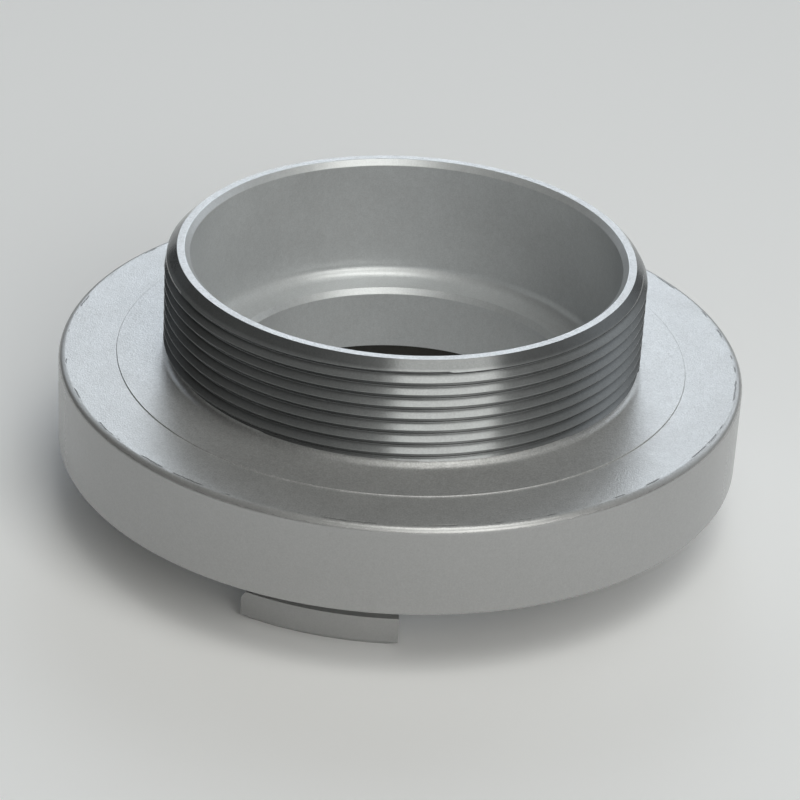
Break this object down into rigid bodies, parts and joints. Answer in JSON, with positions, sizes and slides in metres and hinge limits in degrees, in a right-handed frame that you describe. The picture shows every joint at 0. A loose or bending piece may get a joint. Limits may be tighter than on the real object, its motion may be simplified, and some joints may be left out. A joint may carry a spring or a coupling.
{
  "type": "male threaded adapter",
  "caption": "Fixed claw half-coupling with a male pipe thread, a round rimmed flange, hooked claws and a rubber sealing ring in the hub.",
  "frame": {"origin": "on the axis, at the feet of the claws that the part stands on", "axes": "+Z along the axis towards the threaded end; -Y and +Y through the middles of the claws"},
  "size_m": [0.126, 0.126, 0.0503],
  "materials": {
    "casting": "fine blasted casting, machined at the thread and faces",
    "seal": "matte"
  },
  "bodies": {
    "root": {"coupling_body": "casting", "sealing_ring": "seal"}
  },
  "joints": []
}
